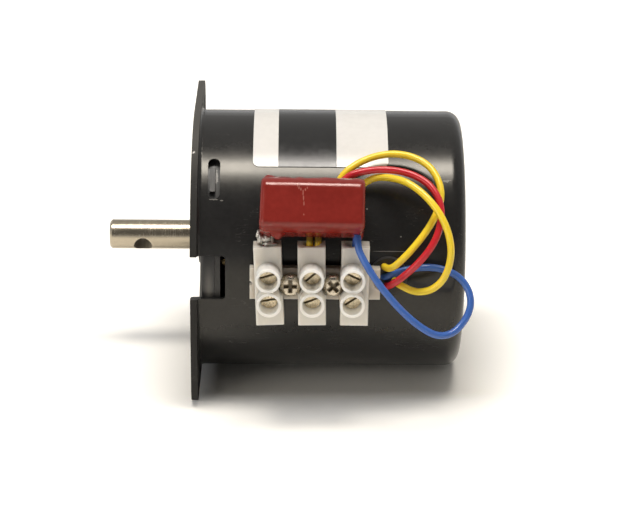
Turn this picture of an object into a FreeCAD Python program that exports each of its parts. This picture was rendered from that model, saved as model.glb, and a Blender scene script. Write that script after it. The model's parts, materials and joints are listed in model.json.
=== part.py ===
import FreeCAD, Part
import math
import os
from FreeCAD import Vector

# Small reversible synchronous gear motor, lying on its side.
# X runs along the motor from the mounting flange's front face (X = 0) to the closed
# rear end, Z is up, and the motor's own axis is Y = Z = 0.  The output shaft points
# to -X.  An angle round the axis is counted from the -Y side upwards, in degrees.

# ---- deep-drawn steel can with its mounting flange ----
can_radius = 30.0
can_length = 62.0
can_wall = 1.5
can_rear_edge_radius = 3.2
flange_lip = 1.0
flange_thickness = 1.5
flange_fillet = 0.9
mouth_edge_radius = 0.9
ear_reach = 35.0
ear_radius = 5.5
ear_hole_radius = 2.4
ear_angle = 133.5
notch_angle = 2.4
notch_width = 10.2
notch_depth = 7.9
notch_corner = 0.8
slot_angle = 46.7
slot_width = 2.75
slot_length = 10.2
slot_from_flange = 3.8
slot_count = 3

# ---- front cover and gearbox plates ----
fit_gap = 0.1
seat_gap = 0.03
running_gap = 0.05
overcut = 1.0
tolerance = 1e-6
volume_tolerance = 0.02
cover_recess = 2.3
cover_thickness = 1.2
cover_edge_radius = 0.7
cover_skirt_end = 5.45
cover_skirt_wall = 1.2
cover_boss_front = 0.5
cover_boss_radius = 7.0
cover_boss_edge = 0.6
tab_width = 6.1
tab_length = 1.2
tab_height = 0.9
gear_plate_thickness = 1.2
gear_plate_gap = 0.05
partition_front = 26.7
partition_thickness = 1.5
pillar_inset = 4.1
pillar_radius = 2.5
pillar_offsets = (75.0, -75.0, 180.0)
cover_screw_radius = 1.5
cover_screw_head_radius = 2.75
cover_screw_head_height = 1.4
cover_screw_slot_width = 0.7
cover_screw_slot_depth = 0.7
cover_screw_bite = 6.0

# ---- output shaft and its bushes ----
shaft_radius = 3.5
shaft_reach = 20.8
shaft_tip_chamfer = 0.5
shaft_inset = 18.4
shaft_offset_angle = 198.0
shaft_hole_radius = 2.1
shaft_hole_from_tip = 7.9
shaft_hole_angle = -34.0
shaft_seat_radius = 4.0
shaft_journal_radius = 2.5
shaft_groove_lead = 0.3
shaft_groove_width = 0.6
shaft_groove_depth = 0.25
bush_wall = 1.4
bush_nose = 0.15
thrust_washer_radius = 6.0
washer_thickness = 0.5
washer_play = 0.15
journal_bush_nose = 1.0

# ---- gear train, 25 to 1 in three steps ----
pressure_angle = 25.0
pinion_teeth = 12
wheel_1_teeth = 30
wheel_2_teeth = 36
output_teeth = 40
module_1 = 0.5
module_2 = 0.6
module_3 = 0.8
pinion_addendum = 1.0
wheel_addendum = 0.9
dedendum = 1.25
tooth_thinning = 0.05
post_1_swing = 150.0
post_radius = 1.5
post_shoulder_radius = 2.4
post_play = 0.15
tenon_radius = 1.1
output_gear_front = 8.6
output_gear_width = 5.0
output_gear_hub_radius = 7.0
output_gear_hub_length = 1.0
wheel_2_front = 15.3
wheel_2_width = 3.8
wheel_1_front = 21.0
wheel_1_width = 3.4
mesh_overlap = 0.3
spigot_wall = 1.0
spigot_step = 0.4
root_relief = 0.125

# ---- rotor ----
spindle_radius = 1.5
spindle_tip_past_pinion = 0.3
magnet_radius = 13.4
magnet_hub_radius = 7.0
magnet_front_gap = 3.8
magnet_rear_gap = 1.4
hub_collar_radius = 4.0
rotor_play = 0.25
rotor_bush_radius = 4.0
rotor_bush_length = 5.0
rear_bush_length = 2.0
rear_bush_radius = 3.4

# ---- two claw-pole stator stacks ----
stack_gap = 0.8
pole_sheet = 1.2
claw_count = 12
claw_inner_radius = 14.0
claw_thickness = 1.1
claw_base_width = 2.9
claw_tip_width = 1.9
claw_tip_gap = 0.9
bobbin_gap = 0.3
bobbin_wall = 0.9
bobbin_play = 0.55
coil_gap = 0.1
coil_cover = 1.0

# ---- lead grommet ----
grommet_x = 44.5
grommet_angle = 4.5
grommet_radius = 3.6
grommet_flange_radius = 4.3
grommet_height = 1.4

# ---- three-pole terminal strip, screwed to the can ----
strip_x = 27.3
strip_angle = 3.4
pole_pitch = 9.55
pole_count = 3
pole_width = 6.2
pole_length = 18.1
pole_underside = 1.7
pole_top = 7.0
pole_edge_radius = 0.35
pole_skew = 0.9
pole_splay = 1.45
chimney_radius = 2.75
chimney_bore = 2.15
chimney_top = 12.0
chimney_spacing = 5.6
last_core_shift = 0.6
web_width = 7.2
web_underside = 2.6
web_top = 5.0
web_head_room = 0.15
left_web_reach = 1.15
right_web_reach = 2.55
left_web_notch = 0.55
right_web_notch = 1.4
foot_radius = 2.5
wire_entry_radius = 1.95
wire_entry_depth = 2.7
wire_axis_height = 4.1
insert_radius = 1.8
insert_bore = 1.2
clamp_screw_radius = 1.25
clamp_head_radius = 1.9
clamp_head_height = 1.9
clamp_head_lift = 0.25
clamp_screw_tip = 0.2
clamp_slot_width = 0.5
clamp_slot_depth = 0.7
clamp_slot_angles = (15.0, 8.0, 40.0, 20.0, -25.0, 35.0)
strip_screw_radius = 1.45
strip_screw_head_radius = 2.5
strip_screw_head_height = 2.1
strip_screw_recess_width = 0.75
strip_screw_recess_length = 3.0
strip_screw_recess_depth = 1.2
strip_screw_tip_depth = 1.4
strip_screw_turns = (0.0, 40.0)

# ---- dipped film capacitor ----
cap_x = 27.4
cap_angle = 32.5
cap_shift = -0.3
cap_width = 22.9
cap_height = 10.6
cap_thickness = 9.8
cap_lift = 3.5
cap_edge_radius = 1.6
cap_tilt = -0.8
cap_leg_radius = 0.4
cap_leg_bite = 0.7
cap_leg_straight = 0.9
cap_leg_places = (-8.9, 10.6)
cap_leg_entries = (1.15, 1.25)
cap_leg_rise = 0.5
cap_leg_end = 0.2

# ---- rating label ----
label_front = 13.9
label_rear = 44.5
label_low_angle = 52.4
label_high_angle = 128.0
label_thickness = 0.15
label_corner_radius = 1.5

# ---- leads ----
lead_radius = 0.8
bend_share = 0.45
# Each lead runs straight between these points and bends at each of them.  A point is
# given by its place along the motor, its angle, and its height above the can.
lead_routes = {
    "lead_yellow_a": (
        (43.4, 8.7, -0.4), (43.4, 8.9, 2.3), (44.9, 9.1, 4.9), (47.3, 12.7, 5.4),
        (49.9, 17.3, 5.3), (52.8, 23.3, 4.6), (55.0, 29.8, 4.0), (56.2, 36.5, 3.6),
        (55.6, 43.7, 3.2), (53.5, 50.3, 3.0), (49.9, 54.5, 2.9), (45.7, 56.1, 2.8),
        (41.4, 55.0, 2.6), (37.5, 51.6, 2.5), (34.2, 47.0, 2.3), (32.0, 39.9, 1.0),
        (29.2, 33.7, 1.0), (26.8, 27.1, 1.2), (26.2, 22.6, 2.7), (26.2, 19.8, 5.0),
        (26.3, 15.2, 4.8)),
    "lead_yellow_b": (
        (45.8, 2.7, -0.4), (45.8, 2.9, 2.1), (47.2, 2.5, 4.3), (50.3, 0.6, 5.4),
        (53.6, 1.6, 6.0), (56.2, 5.2, 6.5), (57.6, 10.4, 7.0), (58.1, 16.1, 7.6),
        (57.5, 21.8, 8.0), (56.1, 27.0, 8.1), (54.1, 31.8, 7.9), (51.3, 36.9, 7.0),
        (48.1, 41.1, 5.9), (44.4, 43.9, 4.2), (40.7, 45.0, 2.8), (36.4, 39.9, 1.2),
        (32.8, 33.9, 1.0), (29.3, 27.1, 1.2), (28.1, 22.6, 2.7), (28.1, 19.8, 5.0),
        (28.1, 15.2, 4.8)),
    "lead_red": (
        (44.0, 0.4, -0.3), (44.0, 0.7, 2.3), (45.6, 3.9, 5.2), (47.9, 7.3, 6.2),
        (50.5, 11.4, 6.9), (53.1, 16.1, 7.1), (55.1, 21.7, 6.7), (56.0, 28.1, 6.1),
        (55.6, 34.5, 5.5), (53.5, 40.5, 5.0), (50.2, 44.5, 4.6), (46.2, 46.5, 4.6),
        (41.9, 46.9, 4.5), (38.1, 46.1, 4.2), (35.2, 44.8, 3.8), (31.5, 37.7, 2.7),
        (26.5, 33.9, 2.6), (21.8, 30.4, 1.6), (18.6, 26.6, 1.3), (16.8, 22.4, 2.8),
        (16.8, 19.8, 5.0), (16.9, 15.2, 4.8)),
    "lead_blue": (
        (43.3, 4.3, -0.4), (43.3, 4.3, 2.2), (45.9, 6.9, 3.1), (49.2, 8.7, 3.2),
        (53.0, 9.4, 3.0), (56.8, 8.7, 3.2), (60.1, 6.1, 3.7), (62.3, 1.8, 4.9),
        (62.9, -3.1, 6.9), (61.4, -7.2, 9.3), (58.6, -9.9, 11.7), (55.2, -9.6, 13.2),
        (51.6, -6.7, 13.4), (47.8, -2.5, 12.9), (44.2, 2.7, 12.3), (41.1, 8.1, 11.8),
        (38.8, 13.1, 11.0), (37.5, 16.6, 10.1), (37.2, 19.1, 9.8), (36.8, 21.3, 8.9),
        (36.3, 22.1, 7.2), (35.9, 21.0, 5.7), (35.8, 18.4, 5.1), (35.7, 15.7, 4.8)),
}

AXIS = Vector(1, 0, 0)
OUT = Vector(0, 0, 1)
CENTRE = Vector(0, 0, 0)


# ---- helpers ----

def polar(x, angle, radius):
    a = math.radians(angle)
    return Vector(x, -radius * math.cos(a), radius * math.sin(a))


def drum(front, rear, radius, centre=CENTRE):
    return Part.makeCylinder(radius, rear - front, Vector(front, centre.y, centre.z), AXIS)


def bored(body, radius, centre=CENTRE):
    """Cuts a round hole right through a body along the motor."""
    box = body.BoundBox
    return body.cut(drum(box.XMin - overcut, box.XMax + overcut, radius, centre))


def ring(front, rear, outer, inner, centre=CENTRE):
    return bored(drum(front, rear, outer, centre), inner, centre)


def peg(x, y, low, high, radius):
    """A cylinder along the local Z axis, for use with seated()."""
    return Part.makeCylinder(radius, high - low, Vector(x, y, low), OUT)


def block(low_x, high_x, low_y, high_y, low_z, high_z):
    corner = Vector(low_x, low_y, low_z)
    return Part.makeBox(high_x - low_x, high_y - low_y, high_z - low_z, corner)


def joined(shapes):
    whole = shapes[0]
    for shape in shapes[1:]:
        whole = whole.fuse(shape)
    return whole.removeSplitter()


def turned(shape, angle):
    """Turns a shape about the local Z axis."""
    copy = shape.copy()
    copy.rotate(CENTRE, OUT, angle)
    return copy


def seated(shape, x, angle):
    """Stands a shape on the can: its X stays along the motor, its Y goes round the can
    towards larger angles, and its Z points straight out from the motor's axis."""
    place = FreeCAD.Placement(Vector(x, 0, 0), FreeCAD.Rotation(AXIS, 90 - angle))
    return shape.transformed(place.toMatrix())


def rims(shape, place, radius, axis=AXIS):
    """The circles of this radius that lie at this place along an axis."""
    found = []
    for edge in shape.Edges:
        if edge.Closed and abs(edge.Curve.Radius - radius) < tolerance:
            if abs(edge.CenterOfMass.dot(axis) - place) < tolerance:
                found.append(edge)
    return found


def edges_along(shape, direction):
    """The straight edges of a shape that run along this direction."""
    found = []
    for edge in shape.Edges:
        if len(edge.Vertexes) == 2 and isinstance(edge.Curve, Part.Line):
            run = edge.Vertexes[1].Point - edge.Vertexes[0].Point
            if run.cross(direction).Length < tolerance:
                found.append(edge)
    return found


def export(node, shape):
    if not shape.isValid():
        raise ValueError(node + " is not a valid shape")
    shape.exportStep("parts/" + node + ".step")


def slot_angles():
    return [slot_angle + 360.0 * k / slot_count for k in range(slot_count)]


# ---- places worked out from the driving dimensions ----
flange_radius = can_radius + flange_lip
can_bore = can_radius - can_wall
inner_radius = can_bore - fit_gap
rear_wall = can_length - can_wall

cover_rear = cover_recess + cover_thickness
gear_plate_front = cover_skirt_end + gear_plate_gap
gear_plate_rear = gear_plate_front + gear_plate_thickness
partition_rear = partition_front + partition_thickness

shaft_offset = inner_radius - shaft_inset
output_centre = polar(0, shaft_offset_angle, shaft_offset)
output_bush_front = cover_boss_front - bush_nose
output_bush_radius = shaft_radius + running_gap + bush_wall
journal_bush_radius = shaft_journal_radius + running_gap + bush_wall
output_gear_rear = output_gear_front + output_gear_width
shaft_seat_rear = output_gear_rear + output_gear_hub_length
wheel_2_rear = wheel_2_front + wheel_2_width
wheel_1_rear = wheel_1_front + wheel_1_width
pinion_2_front = output_gear_front - mesh_overlap
pinion_1_front = wheel_2_front - mesh_overlap
rotor_pinion_front = wheel_1_front - mesh_overlap
rotor_pinion_rear = wheel_1_rear + mesh_overlap

distance_1 = module_1 * (pinion_teeth + wheel_1_teeth) / 2
distance_2 = module_2 * (pinion_teeth + wheel_2_teeth) / 2
distance_3 = module_3 * (pinion_teeth + output_teeth) / 2
post_1 = polar(0, shaft_offset_angle + post_1_swing, distance_1)
across = post_1 - output_centre
along = (distance_3 ** 2 - distance_2 ** 2 + across.Length ** 2) / (2 * across.Length)
aside = math.sqrt(distance_3 ** 2 - along ** 2)
unit = across / across.Length
post_2 = output_centre + unit * along + unit.cross(AXIS) * aside
spigot_1 = post_radius + running_gap + spigot_wall
spigot_2 = spigot_1 + spigot_step

pillar_circle_radius = inner_radius - pillar_inset
pillar_places = []
for offset in pillar_offsets:
    pillar_places.append(polar(0, shaft_offset_angle + offset, pillar_circle_radius))

stator_front = partition_rear + fit_gap
stator_rear = rear_wall - fit_gap
stack_length = (stator_rear - stator_front - stack_gap) / 2
claw_outer_radius = claw_inner_radius + claw_thickness
claw_root_radius = (claw_inner_radius + claw_outer_radius) / 2
claw_length = stack_length - pole_sheet - claw_tip_gap
cup_edge_radius = can_rear_edge_radius - can_wall + fit_gap
bobbin_bore = claw_outer_radius + bobbin_gap
cup_wall_radius = inner_radius - pole_sheet
bobbin_flange_radius = cup_wall_radius - bobbin_play
coil_radius = bobbin_flange_radius - coil_cover
rotor_bush_rear = rotor_pinion_rear + mesh_overlap + rotor_bush_length
rear_bush_front = stator_rear - rear_bush_length
magnet_front = partition_rear + magnet_front_gap
magnet_rear = rear_bush_front - magnet_rear_gap

web_middles = [strip_x + pole_pitch * (k - (pole_count - 2) / 2) for k in range(pole_count - 1)]
wire_axis = can_radius + wire_axis_height
clamp_head_bottom = wire_axis + insert_radius + clamp_head_lift
web_top_radius = can_radius + web_top


# ---- can and flange ----

def flange_outline():
    """The rim circle and the two ear circles, joined by their common tangents."""
    lean = math.degrees(math.acos((flange_radius - ear_radius) / ear_reach))
    edges = []
    for ear in (ear_angle, ear_angle + 180):
        centre = polar(0, ear, ear_reach)
        start = centre + polar(0, ear - lean, ear_radius)
        tip = centre + polar(0, ear, ear_radius)
        end = centre + polar(0, ear + lean, ear_radius)
        rim_end = polar(0, ear + lean, flange_radius)
        edges.append(Part.LineSegment(polar(0, ear - lean, flange_radius), start))
        edges.append(Part.Arc(start, tip, end))
        edges.append(Part.LineSegment(end, rim_end))
        edges.append(Part.Arc(
            rim_end, polar(0, ear + 90, flange_radius), polar(0, ear + 180 - lean, flange_radius)))
    return Part.Wire([edge.toShape() for edge in edges])


def flange_bend():
    """The rounded inner corner where the can turns out into the flange."""
    f = flange_fillet
    low = can_radius - can_wall / 2
    rear = flange_thickness + f
    top = Vector(flange_thickness, 0, can_radius + f)
    end = Vector(rear, 0, can_radius)
    middle = Vector(rear - f * math.cos(math.pi / 4), 0, can_radius + f * (1 - math.sin(math.pi / 4)))
    outline = Part.Wire([
        Part.Arc(top, middle, end).toShape(),
        Part.LineSegment(end, Vector(rear, 0, low)).toShape(),
        Part.LineSegment(Vector(rear, 0, low), Vector(flange_thickness, 0, low)).toShape(),
        Part.LineSegment(Vector(flange_thickness, 0, low), top).toShape()])
    return Part.Face(outline).revolve(CENTRE, AXIS, 360)


def motor_can():
    outside = drum(0, can_length, can_radius)
    outside = outside.makeFillet(can_rear_edge_radius, rims(outside, can_length, can_radius))
    flange = Part.Face(flange_outline()).extrude(Vector(flange_thickness, 0, 0))
    can = joined([outside, flange, flange_bend()])

    hollow = drum(-overcut, rear_wall, can_bore)
    hollow = hollow.makeFillet(can_rear_edge_radius - can_wall, rims(hollow, rear_wall, can_bore))
    can = can.cut(hollow)
    can = can.makeFillet(mouth_edge_radius, rims(can, 0, can_bore))

    notch = block(-notch_depth, notch_depth, -notch_width / 2, notch_width / 2,
                  can_bore - notch_depth, ear_reach + notch_depth)
    corners = [e for e in edges_along(notch, OUT) if e.Vertexes[0].X > 0]
    notch = notch.makeFillet(notch_corner, corners)
    cuts = [seated(notch, 0, notch_angle)]
    for angle in slot_angles():
        cuts.append(seated(can_slot(), 0, angle))
    for ear in (ear_angle, ear_angle + 180):
        hole = drum(-overcut, flange_thickness + overcut, ear_hole_radius, polar(0, ear, ear_reach))
        cuts.append(hole)
    hole = wall_hole(grommet_radius + seat_gap)
    cuts.append(seated(hole, grommet_x, grommet_angle))
    for x in web_middles:
        hole = wall_hole(strip_screw_radius + seat_gap)
        cuts.append(seated(hole, x, strip_angle))
    for cut in cuts:
        can = can.cut(cut)
    return can


def wall_hole(radius):
    return peg(0, 0, can_bore - overcut, can_radius + overcut, radius)


def can_slot():
    x = slot_from_flange + slot_width / 2
    half = (slot_length - slot_width) / 2
    low = can_bore - overcut
    high = can_radius + overcut
    slot = block(x - slot_width / 2, x + slot_width / 2, -half, half, low, high)
    for side in (-half, half):
        slot = slot.fuse(peg(x, side, low, high, slot_width / 2))
    return slot.removeSplitter()


# ---- front cover, plates, pillars and screws ----

def front_cover():
    face = drum(cover_recess, cover_rear, inner_radius)
    face = face.makeFillet(cover_edge_radius, rims(face, cover_recess, inner_radius))
    skirt = ring(cover_rear, cover_skirt_end, inner_radius, inner_radius - cover_skirt_wall)
    boss = drum(cover_boss_front, cover_rear, cover_boss_radius, output_centre)
    boss = boss.makeFillet(cover_boss_edge, rims(boss, cover_boss_front, cover_boss_radius))
    shapes = [face, skirt, boss]
    for angle in slot_angles():
        tab = block(cover_skirt_end - tab_length, cover_skirt_end, -tab_width / 2, tab_width / 2,
                    inner_radius - cover_skirt_wall, inner_radius + tab_height)
        shapes.append(seated(tab, 0, angle))
    cover = bored(joined(shapes), output_bush_radius + seat_gap, output_centre)
    for place in pillar_places:
        cover = bored(cover, cover_screw_radius + fit_gap, place)
    return cover


def gear_plate():
    plate = drum(gear_plate_front, gear_plate_rear, inner_radius)
    holes = [(output_centre, output_bush_radius + seat_gap)]
    for place in pillar_places:
        holes.append((place, cover_screw_radius + fit_gap))
    for place in (post_1, post_2):
        holes.append((place, tenon_radius + seat_gap))
    for place, radius in holes:
        plate = bored(plate, radius, place)
    return plate


def partition_plate():
    plate = drum(partition_front, partition_rear, inner_radius)
    holes = [(output_centre, journal_bush_radius + seat_gap), (CENTRE, rotor_bush_radius + seat_gap)]
    for place in pillar_places + [post_1, post_2]:
        holes.append((place, tenon_radius + seat_gap))
    for place, radius in holes:
        plate = bored(plate, radius, place)
    return plate


def plate_pillar(place):
    pillar = drum(gear_plate_rear, partition_front, pillar_radius, place)
    tenon = drum(partition_front, partition_rear, tenon_radius, place)
    bottom = gear_plate_rear + cover_screw_bite + fit_gap
    thread = drum(gear_plate_rear - overcut, bottom, cover_screw_radius + seat_gap, place)
    return joined([pillar, tenon]).cut(thread)


def cover_screw(place):
    front = cover_recess - cover_screw_head_height
    head = drum(front, cover_recess, cover_screw_head_radius, place)
    head = head.makeFillet(cover_screw_head_height / 2, rims(head, front, cover_screw_head_radius))
    shank = drum(cover_recess, gear_plate_rear + cover_screw_bite, cover_screw_radius, place)
    half = cover_screw_slot_width / 2
    reach = cover_screw_head_radius + overcut
    slot = block(front - overcut, front + cover_screw_slot_depth, place.y - half, place.y + half,
                 place.z - reach, place.z + reach)
    return joined([head, shank]).cut(slot)


def idler_post(place, wheel_rear):
    """A post riveted into both plates, with a shoulder behind the gears it carries."""
    post = drum(gear_plate_rear, partition_front, post_radius, place)
    front_tenon = drum(gear_plate_front, gear_plate_rear, tenon_radius, place)
    rear_tenon = drum(partition_front, partition_rear, tenon_radius, place)
    shoulder = drum(wheel_rear + post_play, partition_front, post_shoulder_radius, place)
    return joined([front_tenon, post, shoulder, rear_tenon])


def post_sleeve(place, gear_front):
    rear = gear_front - post_play
    return ring(gear_plate_rear + seat_gap, rear, post_shoulder_radius, post_radius + running_gap, place)


# ---- gears ----

def tooth_form(module, teeth, addendum):
    """Radius and half angle of a tooth from its root to its tip, on involute flanks."""
    pitch = module * teeth / 2
    slope = math.radians(pressure_angle)
    base = pitch * math.cos(slope)
    half_at_pitch = math.pi / (2 * teeth) - tooth_thinning / pitch
    form = []
    root = pitch - dedendum * module
    tip = pitch + addendum * module
    foot = max(base, root + root_relief * module)
    for radius in (root, foot, (foot + pitch) / 2, pitch, tip):
        lean = math.acos(min(1.0, base / radius))
        half = half_at_pitch + (math.tan(slope) - slope) - (math.tan(lean) - lean)
        form.append((radius, half))
    return form


def gear(front, rear, module, teeth, addendum, bore, centre, tooth_at):
    """A spur gear with the middle of one tooth at the angle tooth_at, in degrees from +Y
    towards +Z."""
    form = tooth_form(module, teeth, addendum)
    points = []
    for k in range(teeth):
        middle = math.radians(tooth_at + 360.0 * k / teeth)
        side = [(radius, middle - half) for radius, half in form]
        side += [(radius, middle + half) for radius, half in reversed(form)]
        for radius, angle in side:
            arm = Vector(0, radius * math.cos(angle), radius * math.sin(angle))
            points.append(Vector(front, centre.y, centre.z) + arm)
    outline = Part.makePolygon(points + [points[0]])
    body = Part.Face(outline).extrude(Vector(rear - front, 0, 0))
    return bored(body, bore, centre)


def pinion_tooth(start, end):
    """Where a pinion on the first axle has a tooth that points at the second axle."""
    return math.degrees(math.atan2(end.z - start.z, end.y - start.y))


def wheel_tooth(start, end, teeth):
    """Where the wheel on the second axle has a tooth, with a gap for the pinion's."""
    return pinion_tooth(end, start) + 180.0 / teeth


def rotor_pinion():
    return gear(rotor_pinion_front, rotor_pinion_rear, module_1, pinion_teeth, pinion_addendum,
                spindle_radius + seat_gap, CENTRE, pinion_tooth(CENTRE, post_1))


def idler_1_wheel():
    return gear(wheel_1_front, wheel_1_rear, module_1, wheel_1_teeth, wheel_addendum,
                spigot_1 + seat_gap, post_1, wheel_tooth(CENTRE, post_1, wheel_1_teeth))


def idler_1_pinion():
    toothed = gear(pinion_1_front, wheel_1_front, module_2, pinion_teeth, pinion_addendum,
                   post_radius + running_gap, post_1, pinion_tooth(post_1, post_2))
    spigot = ring(wheel_1_front, wheel_1_rear, spigot_1, post_radius + running_gap, post_1)
    return joined([toothed, spigot])


def idler_2_wheel():
    return gear(wheel_2_front, wheel_2_rear, module_2, wheel_2_teeth, wheel_addendum,
                spigot_2 + seat_gap, post_2, wheel_tooth(post_1, post_2, wheel_2_teeth))


def idler_2_pinion():
    toothed = gear(pinion_2_front, wheel_2_front, module_3, pinion_teeth, pinion_addendum,
                   post_radius + running_gap, post_2, pinion_tooth(post_2, output_centre))
    spigot = ring(wheel_2_front, wheel_2_rear, spigot_2, post_radius + running_gap, post_2)
    return joined([toothed, spigot])


def output_gear():
    bore = shaft_seat_radius + seat_gap
    toothed = gear(output_gear_front, output_gear_rear, module_3, output_teeth, wheel_addendum,
                   bore, output_centre, wheel_tooth(post_2, output_centre, output_teeth))
    hub = ring(output_gear_rear, shaft_seat_rear, output_gear_hub_radius, bore, output_centre)
    return joined([toothed, hub])


# ---- output shaft ----

def output_shaft():
    """The shaft has an oil groove half under its bush, and a cross hole near its tip."""
    tip = -shaft_reach
    washer_rear = gear_plate_rear + washer_play + washer_thickness
    stem = drum(tip, washer_rear, shaft_radius, output_centre)
    stem = stem.makeChamfer(shaft_tip_chamfer, rims(stem, tip, shaft_radius))
    seat = drum(washer_rear, shaft_seat_rear, shaft_seat_radius, output_centre)
    journal = drum(shaft_seat_rear, partition_rear, shaft_journal_radius, output_centre)
    groove_front = output_bush_front - shaft_groove_lead
    groove = ring(groove_front, groove_front + shaft_groove_width, shaft_radius + overcut,
                  shaft_radius - shaft_groove_depth, output_centre)
    shaft = joined([stem, seat, journal]).cut(groove)
    middle = Vector(tip + shaft_hole_from_tip, output_centre.y, output_centre.z)
    direction = polar(0, shaft_hole_angle, 1)
    start = middle - direction * (2 * shaft_radius)
    return shaft.cut(Part.makeCylinder(shaft_hole_radius, 4 * shaft_radius, start, direction))


def thrust_washer():
    front = gear_plate_rear + washer_play
    rear = front + washer_thickness
    return ring(front, rear, thrust_washer_radius, shaft_radius + seat_gap, output_centre)


def output_spacer():
    front = shaft_seat_rear + seat_gap
    rear = partition_front - journal_bush_nose - washer_play
    return ring(front, rear, shaft_seat_radius, shaft_journal_radius + seat_gap, output_centre)


# ---- rotor ----

def rotor_spindle():
    return drum(rotor_pinion_front - spindle_tip_past_pinion, stator_rear - rotor_play, spindle_radius)


def rotor_hub():
    front_collar = drum(rotor_bush_rear + rotor_play, magnet_front, hub_collar_radius)
    middle = drum(magnet_front, magnet_rear, magnet_hub_radius)
    rear_collar = drum(magnet_rear, rear_bush_front - rotor_play, hub_collar_radius)
    return bored(joined([front_collar, middle, rear_collar]), spindle_radius + seat_gap)


def rotor_magnet():
    return ring(magnet_front, magnet_rear, magnet_radius, magnet_hub_radius + seat_gap)


# ---- stator stacks ----

def claws(root, direction, length, turn):
    """Tapered claws bent along the rotor from a pole plate, spread round it."""
    shapes = []
    for k in range(claw_count):
        outline = Part.makePolygon([
            Vector(0, -claw_base_width / 2, claw_inner_radius),
            Vector(0, claw_base_width / 2, claw_inner_radius),
            Vector(direction * length, claw_tip_width / 2, claw_inner_radius),
            Vector(direction * length, -claw_tip_width / 2, claw_inner_radius),
            Vector(0, -claw_base_width / 2, claw_inner_radius)])
        claw = Part.Face(outline).extrude(Vector(0, 0, claw_thickness))
        shapes.append(seated(claw, root, turn + 360.0 * k / claw_count))
    return shapes


def pole_cup(floor, direction):
    """An open cup of pole sheet whose floor carries every second claw."""
    inside = floor + direction * pole_sheet
    end = floor + direction * stack_length
    wall_low, wall_high = sorted((floor, end))
    cup = drum(wall_low, wall_high, inner_radius)
    cup = cup.makeFillet(cup_edge_radius, rims(cup, floor, inner_radius))
    cup = cup.cut(drum(*sorted((inside, end + direction * overcut)), cup_wall_radius))
    cup = bored(cup, claw_root_radius)
    return joined([cup] + claws(floor, direction, claw_length, 0))


def pole_plate(face, direction):
    """The flat plate that closes a cup and carries the claws in between."""
    low, high = sorted((face, face + direction * pole_sheet))
    plate = ring(low, high, cup_wall_radius - fit_gap, claw_root_radius)
    return joined([plate] + claws(face, direction, claw_length, 180.0 / claw_count))


def bobbin(front, rear):
    tube = ring(front, rear, bobbin_bore + bobbin_wall, bobbin_bore)
    flanges = []
    for start in (front, rear - bobbin_wall):
        flanges.append(ring(start, start + bobbin_wall, bobbin_flange_radius, bobbin_bore))
    return joined([tube] + flanges)


def coil(front, rear):
    edge = bobbin_wall + coil_gap
    return ring(front + edge, rear - edge, coil_radius, bobbin_bore + bobbin_wall + coil_gap)


def rear_pole_cup():
    """The rear cup's floor also holds the rotor's rear bush."""
    cup = pole_cup(stator_rear, -1)
    spokes = ring(stator_rear - pole_sheet, stator_rear, claw_outer_radius, rear_bush_radius + seat_gap)
    return joined([cup, spokes])


# ---- grommet, terminal strip and its metal ----

def lead_grommet():
    plug = peg(0, 0, can_bore, can_radius + grommet_height, grommet_radius)
    flange = peg(0, 0, can_bore, can_radius + grommet_height, grommet_flange_radius)
    plug = seated(plug, grommet_x, grommet_angle)
    flange = seated(flange, grommet_x, grommet_angle)
    flange = flange.cut(drum(0, can_length, can_radius + seat_gap))
    return joined([plug, flange])


def pole_turn(k):
    return pole_skew - (k - (pole_count - 1) / 2) * pole_splay


def pole_x(k):
    return strip_x + (k - (pole_count - 1) / 2) * pole_pitch


def core_shift(k):
    """The moulding's last pole has its metal off the middle of its barrel."""
    return -last_core_shift if k == pole_count - 1 else 0.0


def on_pole(shape, k):
    return seated(turned(shape, pole_turn(k)), pole_x(k), strip_angle)


def rod(x, start, end, radius):
    """A cylinder along a pole of the strip, on the axis that the wires enter by."""
    return Part.makeCylinder(radius, end - start, Vector(x, start, wire_axis), Vector(0, 1, 0))


def pole_body(k):
    half = pole_length / 2
    barrel = block(-pole_width / 2, pole_width / 2, -half, half, can_radius + pole_underside,
                   can_radius + pole_top)
    barrel = barrel.makeFillet(pole_edge_radius, edges_along(barrel, Vector(0, 1, 0)))
    shapes = [barrel]
    for side in (-1, 1):
        y = side * chimney_spacing / 2
        shapes.append(peg(core_shift(k), y, wire_axis, can_radius + chimney_top, chimney_radius))
    return on_pole(joined(shapes), k)


def pole_bores(k):
    x = core_shift(k)
    half = pole_length / 2
    inside = half - wire_entry_depth
    bores = [
        rod(x, -half, half, insert_radius + seat_gap),
        rod(x, -half - overcut, -inside, wire_entry_radius),
        rod(x, inside, half + overcut, wire_entry_radius)]
    for side in (-1, 1):
        y = side * chimney_spacing / 2
        bores.append(peg(x, y, wire_axis, can_radius + chimney_top + overcut, chimney_bore))
    return [on_pole(bore, k) for bore in bores]


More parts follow.
